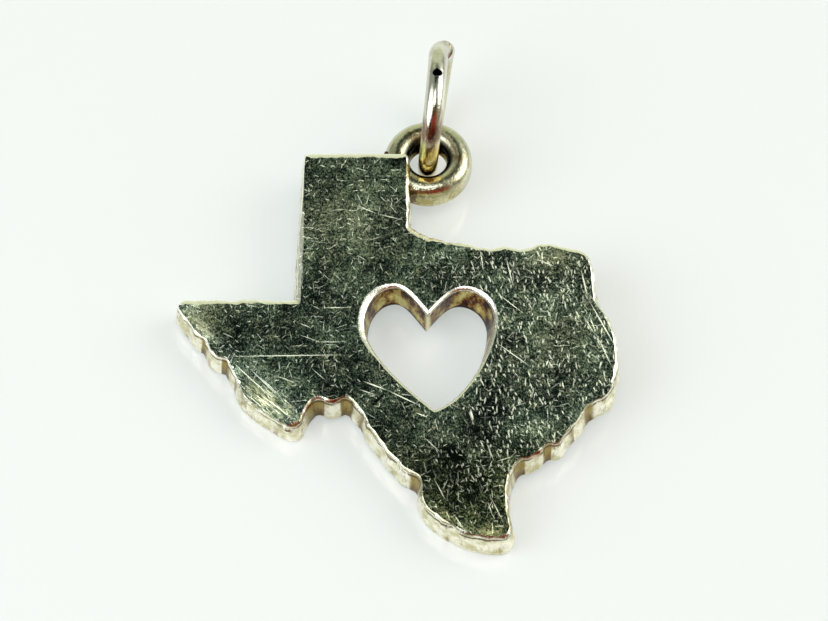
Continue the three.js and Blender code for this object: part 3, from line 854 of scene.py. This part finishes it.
class Shell:
    """Vertices and faces of one piece, with the values that its material reads."""

    def __init__(self):
        self.places = []
        self.faces = []
        self.values = {"edge": [], "notch": [], "rise": []}

    def point(self, place, edge=0.0, notch=0.0):
        self.places.append(place)
        for values, value in zip(self.values.values(), (edge, notch, place.z)):
            values.append(value)
        return len(self.places) - 1

    def loop(self, places, edge, notch):
        return [self.point(place, edge, hollow) for place, hollow in zip(places, notch)]

    def bands(self, loops):
        """Joins each loop to the next one."""
        for lower, upper in zip(loops, loops[1:]):
            self.faces.extend(quads(lower, upper))

    def cap(self, rims, level, up, spacing):
        """Fills between an outer rim and a hole with triangles no larger than the spacing."""
        owners = [i for rim in rims for i in rim]
        flat = [self.places[i].xy for i in owners]
        edges, start = [], 0
        for rim in rims:
            edges.extend(pairs(list(range(start, start + len(rim)))))
            start += len(rim)
        outer, hole = ([self.places[i].xy for i in rim] for rim in rims)
        inner = [p for p in dots(outer, spacing) if not inside(hole, p) and clear(flat, p, spacing)]
        made, _, faces, sources, _, _ = delaunay_2d_cdt(flat + inner, edges, [], 1, 1e-5)
        index = []
        for place, source in zip(made, sources):
            known = [owners[s] for s in source if s < len(owners)]
            if not known:
                wave = noise.noise(Vector((place.x, place.y, level)) * 0.7) * 0.5 + 0.5
                place = Vector((place.x, place.y, level - up * FACE_WAVE * wave))
                known = [self.point(place)]
            index.append(known[0])
        for face in faces:
            middle = sum((made[i] for i in face), Vector((0, 0))) / len(face)
            if inside(outer, middle) and not inside(hole, middle):
                face = [index[i] for i in face]
                self.faces.append(tuple(face if up > 0 else face[::-1]))

    def wear(self, slopes):
        """Lowers the upper part of the edge where it has been rubbed to a slope."""
        for place in self.places:
            share = climb(place.z, WEAR_FOOT, SHOULDER_FOOT)
            if share:
                place.z -= share * max(fall(place, *slope) for slope in slopes)

    def mesh(self, name):
        mesh = bpy.data.meshes.new(name)
        mesh.from_pydata([p * MM for p in self.places], [], self.faces)
        for label, values in self.values.items():
            mesh.attributes.new(label, "FLOAT", "POINT").data.foreach_set("value", values)
        mesh.validate()
        return mesh


def fall(place, start, end, width, first, last):
    """How far a worn slope lies below the face at one place, or 0 away from it."""
    run = Vector(end) - Vector(start)
    reach = place.xy - Vector(start)
    along = reach.dot(run) / run.length
    inward = -reach.cross(run) / run.length
    over = max(-along, along - run.length, 0)
    share = min(max(1 - inward / width, 0), SLOPE_PAST) * max(1 - over / SLOPE_END, 0)
    depth = first + (last - first) * climb(along, 0, run.length)
    return depth * share ** SLOPE_CURVE


def dots(rim, spacing):
    """Points in staggered rows inside a rim."""
    (low_x, low_y), (high_x, high_y) = reach_of(rim)
    made = []
    for row in range(math.ceil((high_y - low_y) / spacing / ROW_HEIGHT)):
        first = low_x + row % 2 * spacing / 2
        y = low_y + row * spacing * ROW_HEIGHT
        for step in range(math.ceil((high_x - first) / spacing)):
            made.append(Vector((first + step * spacing, y)))
    return [p for p in made if inside(rim, p)]


def inside(rim, point):
    hit = False
    for a, b in pairs(rim):
        if (a.y > point.y) != (b.y > point.y):
            if point.x < a.x + (b.x - a.x) * (point.y - a.y) / (b.y - a.y):
                hit = not hit
    return hit


def clear(rim, point, spacing):
    """Whether a point keeps enough distance from a rim's own points."""
    limit = (spacing * 0.6) ** 2
    return all((p - point).length_squared > limit for p in rim)


def placed(name, data):
    """A new object in the scene."""
    item = bpy.data.objects.new(name, data)
    bpy.context.scene.collection.objects.link(item)
    return item


def new_piece(name, mesh, material, body, node):
    """A smooth shaded piece that rides on a body and stands in for one of its nodes."""
    piece = placed(name, mesh)
    mesh.materials.append(material)
    for polygon in mesh.polygons:
        polygon.use_smooth = True
    mesh.set_sharp_from_angle(angle=SMOOTH_ANGLE)
    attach(piece, body)
    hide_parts(node)


def crease_face(mesh):
    """Keeps the bend between the flat face and its shoulder crisp."""
    bm = bmesh.new()
    bm.from_mesh(mesh)
    edge = bm.verts.layers.float["edge"]
    for line in bm.edges:
        if line.calc_face_angle(0) > RIM_ANGLE and not any(v[edge] for v in line.verts):
            line.smooth = False
    finished(bm, mesh)


def finished(bm, mesh):
    """Writes the worked shape into the mesh and returns it."""
    bm.to_mesh(mesh)
    bm.free()
    return mesh


def cut(mesh, cutter):
    """The mesh with the cutter's body taken out of it, and without slivers along the cut."""
    blank, tool = placed("blank", mesh), placed("cutter", cutter)
    taken = blank.modifiers.new("cut", "BOOLEAN")
    taken.object = tool
    taken.solver = "EXACT"
    graph = bpy.context.evaluated_depsgraph_get()
    made = bpy.data.meshes.new_from_object(blank.evaluated_get(graph))
    made.name = mesh.name + "_cut"
    for item in (blank, tool):
        bpy.data.objects.remove(item)
    bm = bmesh.new()
    bm.from_mesh(made)
    bmesh.ops.remove_doubles(bm, verts=bm.verts, dist=SLIVER)
    bmesh.ops.triangulate(bm, faces=[face for face in bm.faces if len(face.verts) > 4])
    bmesh.ops.dissolve_degenerate(bm, dist=SLIVER, edges=bm.edges)
    return finished(bm, made)


def tube(name, rings):
    """Rings of points, in millimetres, joined into one closed body with a flat face at each end."""
    bm = bmesh.new()
    made = [[bm.verts.new(place * MM) for place in ring] for ring in rings]
    for lower, upper in zip(made, made[1:]):
        for corners in quads(lower, upper):
            bm.faces.new(corners)
    bm.faces.new(made[0])
    bm.faces.new(made[-1][::-1])
    bmesh.ops.recalc_face_normals(bm, faces=bm.faces)
    return finished(bm, bpy.data.meshes.new(name))


def turned(name, profile, centre, turns):
    """Profile of distances out and heights, turned round an upright axis.

    A profile that starts on the axis also ends there. Any other one is a closed section.
    """
    bm = bmesh.new()
    rings = []
    for out, up in profile:
        ring = []
        for angle in (TURN * i / turns for i in range(turns if out else 1)):
            spot = centre + Vector((out * math.cos(angle), out * math.sin(angle), up))
            ring.append(bm.verts.new(spot * MM))
        rings.append(ring if out else ring * turns)
    if profile[0][0]:
        rings.append(rings[0])
    for lower, upper in zip(rings, rings[1:]):
        for corners in quads(lower, upper):
            bm.faces.new(list(dict.fromkeys(corners)))
    return finished(bm, bpy.data.meshes.new(name))


def record_mount(name):
    return next(mount for mount in frame["record"]["mounts"] if mount["name"] == name)


def ring_place():
    """Centre, outer radius, bore's radius and height of the fixed ring."""
    low, high = (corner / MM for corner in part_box("fixed_ring"))
    return (low + high) / 2, (high.x - low.x) / 2, settings().bore / MM / 2, high.z - low.z


# State plate


def worn_coast(points, along):
    """For each point of the coast, its rounded edge's depth and width, its ridge and how lumpy it is."""
    shoulder = settings().shoulder / MM
    made = []
    for p, s in zip(points, along):
        facing = Vector((p.z, p.w)).normalized()
        slow, quick = (noise.noise(Vector((s * pitch, 3, 0))) for pitch in (0.8, 2.9))
        coarse, fine = (noise.noise(Vector((s * pitch, 0, 7))) for pitch in (1.7, 4.3))
        west_border = facing.x < -0.9 and p.y > 6.5
        straight = west_border or facing.y > 0.9 and p.x < 0
        lumpy = 0.1 if straight else 1
        deep = shoulder * (0.86 + 0.3 * slow + 0.25 * quick)
        wide = deep * (0.75 + max(facing.y, 0) * (1.0 if p.x < 0 else 0.6))
        if west_border:
            wide *= 0.4
        elif facing.y < -0.3 and (p.x < -5.9 or p.x > 3.2 and p.y > -2):
            wide *= 0.5
        made.append((deep, wide, (0.07 * coarse + 0.04 * fine) * lumpy, lumpy))
    return made


def coast_wall(shell, source):
    """The plate's outer wall, from the rounding at the back up to the rim of the face."""
    spread = settings().spread / MM
    points, along = fine_curve(outline_loop(source, SHOULDER_FOOT), COAST_STEP)
    notch = hollows(points, NOTCH_REACH)
    coast = worn_coast(points, along)

    def level(out, height, ridges=1.0, edge=1.0, inward=0, down=0):
        """One loop. Inward and down are shares of the rounded edge's width and depth."""
        places = []
        for p, s, (deep, wide, ridge, lumpy) in zip(points, along, coast):
            lump = 0.08 * lumpy * noise.noise(Vector((s * 1.3, height * 1.6, 20)))
            move = min(out - inward * wide + ridges * (ridge + lump), spread)
            places.append(Vector((p.x + p.z * move, p.y + p.w * move, height - down * deep)))
        return shell.loop(places, edge, notch)

    levels = []
    for i in range(4):
        angle = i / 3 * QUARTER
        out = spread - BACK_ROUND * (1 - math.sin(angle))
        levels.append(level(out, BACK_ROUND * (1 - math.cos(angle)), 0.3 + 0.2 * i, float(i > 0)))
    for share in (i / 7 for i in range(1, 7)):
        levels.append(level(spread * (1 - share), BACK_ROUND + share * WALL_RISE))
    for i in range(8):
        inward, down = rounding(i / 7)
        levels.append(level(0, PLATE_FACE, 1 - i / 7, float(i < 7), inward, down))
    shell.bands(levels)
    return levels


def heart_wall(shell, source):
    """The heart's wall, which keeps its shape and narrows evenly from the front to the back."""
    front = heart_loop(source, PLATE_FACE, 1)
    spans = [*reach_of(front), *reach_of(heart_loop(source, PLATE_BACK, -1))]
    points, _ = fine_curve(front, HEART_STEP)
    plain = [(0, 1)] * len(points)
    worn = []
    for p in points:
        west = climb(-p.x, 1.9, 2.8) * climb(p.y, 4.0, 5.2)
        worn.append((0.05 + 0.16 * west, 1.2 + 0.5 * west))

    def level(inward, height, edge=1.0, wear=plain, rest=0):
        """One loop. Rest is the share of the wear that widens the rounded edge there."""
        down = PLATE_FACE - height
        places = []
        for p, (extra, deeper) in zip(points, wear):
            move = inward - extra * rest
            spot = (p.x - p.z * move, p.y - p.w * move)
            place = []
            for value, low, high, back_low, back_high in zip(spot, *spans):
                goal = back_low + (value - low) / (high - low) * (back_high - back_low)
                place.append(value + (goal - value) * down / PLATE_FACE)
            places.append(Vector((*place, PLATE_FACE - down * deeper)))
        return shell.loop(places, edge, [0.0] * len(points))

    levels = []
    for i in range(6):
        rest, down = rounding(1 - i / 5)
        height = PLATE_FACE - HEART_ROUND * down
        levels.append(level(HEART_ROUND * (1 - rest), height, float(i > 0), worn, rest))
    for i in range(1, 6):
        straight = PLATE_FACE - 2 * HEART_ROUND
        levels.append(level(HEART_ROUND, PLATE_FACE - HEART_ROUND - straight * i / 6))
    for i in range(4):
        angle = i / 3 * QUARTER
        height = HEART_ROUND * (1 - math.sin(angle))
        levels.append(level(HEART_ROUND * math.cos(angle), height, float(i < 3)))
    shell.bands(levels)
    return levels


def seat_cutter():
    """Body that bores the fixed ring's seat from below, a little larger than the ring."""
    centre, radius, bore, height = ring_place()
    half = (radius - bore) / 2
    wide = radius + SEAT_ROOM
    top = height / 2 + SEAT_HEADROOM
    straight = height / 2 - half
    profile = [(0, CUTTER_FOOT), (wide, CUTTER_FOOT)]
    for angle in (i / 8 * QUARTER for i in range(9)):
        out = radius - half + (wide - radius + half) * math.cos(angle)
        profile.append((out, straight + (top - straight) * math.sin(angle)))
    profile.append((0, top))
    return turned("seat", profile, centre, SEAT_TURNS)


# Jump ring


class WireRing:
    """Place and wire of the jump ring, from the record's mount and the settings."""

    def __init__(self):
        mount = record_mount("jump_ring_eye")
        self.centre = Vector(mount["pos_m"]) / MM
        self.normal = Vector(mount["axis"]).normalized()
        self.level = Vector((0, 0, 1)).cross(self.normal).normalized()
        self.rise = self.normal.cross(self.level)
        self.wire = settings().wire / MM / 2
        self.mean = settings().jump_outside / MM / 2 - self.wire
        self.step = settings().seam_step / MM

    def out(self, angle):
        """The way out from the ring's centre at one angle."""
        return self.level * math.cos(angle) + self.rise * math.sin(angle)

    def swept(self, name, count, first, last, side_of, wire_of):
        """Round wire led along the ring from one angle to another."""
        rings = []
        for share in (i / count for i in range(count + 1)):
            out = self.out(first + (last - first) * share)
            middle = self.centre + out * self.mean + self.normal * side_of(share)
            ring = []
            for turn in (TURN * j / WIRE_SIDES for j in range(WIRE_SIDES)):
                way = out * math.cos(turn) + self.normal * math.sin(turn)
                ring.append(middle + way * wire_of(share))
            rings.append(ring)
        return tube(name, rings)

    def pit_top(self):
        """Middle of the pit's mouth on top of the wire, and the way out of it."""
        out = self.out(PIT_ANGLE)
        share = (PIT_ANGLE - SEAM_ANGLE) / TURN - 0.5
        return self.centre + out * (self.mean + self.wire) + self.normal * (share * self.step), out

    def pit_cutter(self):
        """Three-cornered body that narrows down into the wire."""
        spot, out = self.pit_top()
        ahead = out.cross(self.normal)
        rims = []
        for height, size in PIT_RIMS:
            rim = []
            for turn in (TURN * j / PIT_SIDES for j in range(PIT_SIDES)):
                reach = PIT_RADIUS * size * (1 + 0.17 * math.cos(3 * turn + 0.6))
                way = ahead * math.cos(turn) + self.normal * math.sin(turn)
                rim.append(spot + out * height + way * reach)
            rims.append(rim)
        return tube("pit", rims)


def bent_back(share):
    """Part of the seam's step that is left where the wire's ends bend back towards each other."""
    near = min(share, 1 - share) / BEND_LENGTH
    return 1 - BEND_BACK * max(1 - near, 0) ** 2


# Settings, shown in the sidebar


def colour_setting(name, description, default):
    return bpy.props.FloatVectorProperty(
        name=name, description=description, default=default, min=0, max=1, size=4, subtype="COLOR"
    )


def length_setting(name, description, default):
    return bpy.props.FloatProperty(
        name=name, description=description, default=default * MM, unit="LENGTH"
    )


class CharmSettings(bpy.types.PropertyGroup):
    silver: colour_setting("Silver", "Colour of the bright silver", (0.93, 0.91, 0.8, 1))
    wall: colour_setting("Wall", "Colour of the plate's yellowed wall", (0.76, 0.75, 0.47, 1))
    ring: colour_setting("Rings", "Colour of the two rings", (0.53, 0.52, 0.37, 1))
    warm: colour_setting("Warm tarnish", "Colour of the stains in hollows", (0.27, 0.17, 0.06, 1))
    shoulder: length_setting("Shoulder", "Width of the rounded edge round the front face", 0.2)
    spread: length_setting("Spread", "How far the wall leans out towards the back", 0.12)
    bore: length_setting("Fixed ring's bore", "Width of the opening in the fixed ring", 1.7)
    jump_outside: length_setting("Jump ring", "Outside diameter of the jump ring", 6.35)
    wire: length_setting("Wire", "Thickness of the jump ring's wire", 0.89)
    seam_step: length_setting("Seam step", "How far the ends of the wire miss each other", 0.35)


def settings():
    return bpy.context.scene.heart_charm


# Operators


class CHARM_OT_plate(bpy.types.Operator):
    """Makes the state plate with the heart opening and the seat for the fixed ring"""

    bl_idname = "heart_charm.plate"
    bl_label = "State plate"

    def execute(self, context):
        shell = Shell()
        source = frame["nodes"]["state_plate"].data
        coast = coast_wall(shell, source)
        heart = heart_wall(shell, source)
        shell.cap([coast[-1], heart[0]], PLATE_FACE, 1, FACE_SPACING)
        shell.cap([coast[0], heart[-1]], PLATE_BACK, -1, BACK_SPACING)
        shell.wear(WORN_SLOPES)
        mesh = cut(shell.mesh("state_plate_worn"), seat_cutter())
        silver = plate_silver(settings())
        new_piece("state_plate_worn", mesh, silver, "charm", "state_plate")
        crease_face(mesh)
        return {"FINISHED"}


class CHARM_OT_fixed_ring(bpy.types.Operator):
    """Makes the thick ring that sits in the plate's corner"""

    bl_idname = "heart_charm.fixed_ring"
    bl_label = "Fixed ring"

    def execute(self, context):
        centre, radius, bore, height = ring_place()
        half = (radius - bore) / 2
        straight = max(height / 2 - half, 0)
        profile = []
        for start, middle in ((0, straight), (math.pi, -straight)):
            for angle in (start + math.pi * i / 18 for i in range(19)):
                profile.append((radius - half + half * math.cos(angle), middle + half * math.sin(angle)))
        mesh = turned("fixed_ring_worn", profile, centre, RING_TURNS)
        silver = ring_silver(settings())
        new_piece("fixed_ring_worn", mesh, silver, "charm", "fixed_ring")
        return {"FINISHED"}


class CHARM_OT_jump_ring(bpy.types.Operator):
    """Makes the jump ring with its stepped seam, the solder in it and the pit"""

    bl_idname = "heart_charm.jump_ring"
    bl_label = "Jump ring"

    def execute(self, context):
        ring = WireRing()
        gap = SEAM_GAP / ring.mean
        solder = ring.swept(
            "jump_ring_seam",
            SEAM_STEPS,
            SEAM_ANGLE - gap * SOLDER_HALF,
            SEAM_ANGLE + gap * SOLDER_HALF,
            lambda share: (0.5 - share) * ring.step * bent_back(0),
            lambda share: ring.wire * (SOLDER_SIZE - SOLDER_WAIST * math.sin(share * math.pi)),
        )
        silver = seam_silver(settings())
        new_piece("jump_ring_seam", solder, silver, "jump_ring", "jump_ring_solder")
        mesh = ring.swept(
            "jump_ring_worn",
            WIRE_STEPS,
            SEAM_ANGLE + gap / 2,
            SEAM_ANGLE - gap / 2 + TURN,
            lambda share: (share - 0.5) * ring.step * bent_back(share),
            lambda share: ring.wire,
        )
        mouth, out = ring.pit_top()
        silver = wire_silver(settings(), mouth - out * PIT_SHADE_DEPTH)
        mesh = cut(mesh, ring.pit_cutter())
        new_piece("jump_ring_worn", mesh, silver, "jump_ring", "jump_ring")
        return {"FINISHED"}


class CHARM_OT_solder(bpy.types.Operator):
    """Gives the fixed ring's solder its dull finish"""

    bl_idname = "heart_charm.solder"
    bl_label = "Fixed ring's solder"

    def execute(self, context):
        node = frame["nodes"]["fixed_ring_solder"]
        node.material_slots[0].material = dull_solder()
        return {"FINISHED"}


class CHARM_OT_stage(bpy.types.Operator):
    """Makes the pale table, the soft light and the camera"""

    bl_idname = "heart_charm.stage"
    bl_label = "Table, light and camera"

    def execute(self, context):
        context.scene.view_settings.view_transform = "Standard"
        lay_table()
        light_round()
        for softbox in SOFTBOXES:
            hang_softbox(*softbox)
        context.scene.camera = photo_camera()
        return {"FINISHED"}


def lay_table():
    """A wide table top under the plate's west and south feet and the jump ring's lowest point."""
    mount = record_mount("jump_ring_eye")
    lowest = Vector(mount["pos_m"]) / MM - Vector((0, 0, settings().jump_outside / MM / 2))
    up = (SOUTH_FOOT - WEST_FOOT).cross(lowest - WEST_FOOT).normalized()
    centre = TABLE_MIDDLE.copy()
    centre.z = WEST_FOOT.z - (centre - WEST_FOOT).xy.dot(up.xy) / up.z
    bm = bmesh.new()
    bmesh.ops.create_grid(bm, x_segments=8, y_segments=8, size=TABLE_HALF_METRES)
    mesh = finished(bm, bpy.data.meshes.new("table_top"))
    table = placed("table_top", mesh)
    table.rotation_euler = up.to_track_quat("Z", "Y").to_euler()
    table.location = (centre - up * TABLE_GAP) * MM
    finish = new_finish("white_table")
    mesh.materials.append(finish.surface(TABLE_SHEEN))


def light_round():
    """Bright and dark patches in a grey room, for the charm to mirror."""
    world = bpy.data.worlds.new("soft_room")
    bpy.context.scene.world = world
    finish = Finish(world)
    way = finish.node("ShaderNodeTexCoord", out=0)
    colour = ROOM_GREY
    for azimuth, elevation, inner, outer, light in ROOM:
        a, e = math.radians(azimuth), math.radians(elevation)
        toward = (math.sin(a) * math.cos(e), math.cos(a) * math.cos(e), math.sin(e))
        near = finish.vector("DOT_PRODUCT", way, toward, out=1)
        near = near.rising(math.cos(math.radians(outer)), math.cos(math.radians(inner)))
        colour = finish.mix(colour, light, near)
    light = finish.node("ShaderNodeBackground", {}, {"Color": colour, "Strength": 1.0})
    finish.node("ShaderNodeOutputWorld", {}, {"Surface": light})


def hang_softbox(name, place, size, power, colour):
    lamp = bpy.data.lights.new(name, "AREA")
    lamp.size = size * MM
    lamp.energy = power
    lamp.color = colour
    holder = placed(name, lamp)
    holder.location = Vector(place) * MM
    holder.rotation_euler = (-Vector(place)).to_track_quat("-Z", "Y").to_euler()


def photo_camera():
    """The photograph's camera: a long lens, south of the charm and above it."""
    camera = bpy.data.cameras.new("photo_camera")
    camera.lens = LENS_LENGTH
    camera.sensor_width = SENSOR_WIDTH
    camera.clip_start, camera.clip_end = CLIP_METRES
    holder = placed("photo_camera", camera)
    back = Vector((0, -math.cos(VIEW_ELEVATION), math.sin(VIEW_ELEVATION)))
    holder.location = (VIEW_TARGET + back * VIEW_DISTANCE) * MM
    holder.rotation_euler = (QUARTER - VIEW_ELEVATION, 0, 0)
    return holder


class CHARM_PT_panel(bpy.types.Panel):
    """Lists the charm's pieces and its settings"""

    bl_label = "Heart Charm"
    bl_idname = "CHARM_PT_panel"
    bl_space_type = "VIEW_3D"
    bl_region_type = "UI"
    bl_category = "Heart Charm"

    def draw(self, context):
        column = self.layout.column()
        for operator in STEPS:
            column.operator(operator.bl_idname)
        for name in CharmSettings.__annotations__:
            column.prop(context.scene.heart_charm, name)


STEPS = (CHARM_OT_plate, CHARM_OT_fixed_ring, CHARM_OT_jump_ring, CHARM_OT_solder, CHARM_OT_stage)
CLASSES = (CharmSettings, *STEPS, CHARM_PT_panel)


def register():
    for item in CLASSES:
        bpy.utils.register_class(item)
    bpy.types.Scene.heart_charm = bpy.props.PointerProperty(type=CharmSettings)


def unregister():
    del bpy.types.Scene.heart_charm
    for item in reversed(CLASSES):
        bpy.utils.unregister_class(item)


def main():
    register()
    bpy.ops.heart_charm.plate()
    bpy.ops.heart_charm.fixed_ring()
    bpy.ops.heart_charm.jump_ring()
    bpy.ops.heart_charm.solder()
    bpy.ops.heart_charm.stage()


if __name__ == "__main__":
    main()
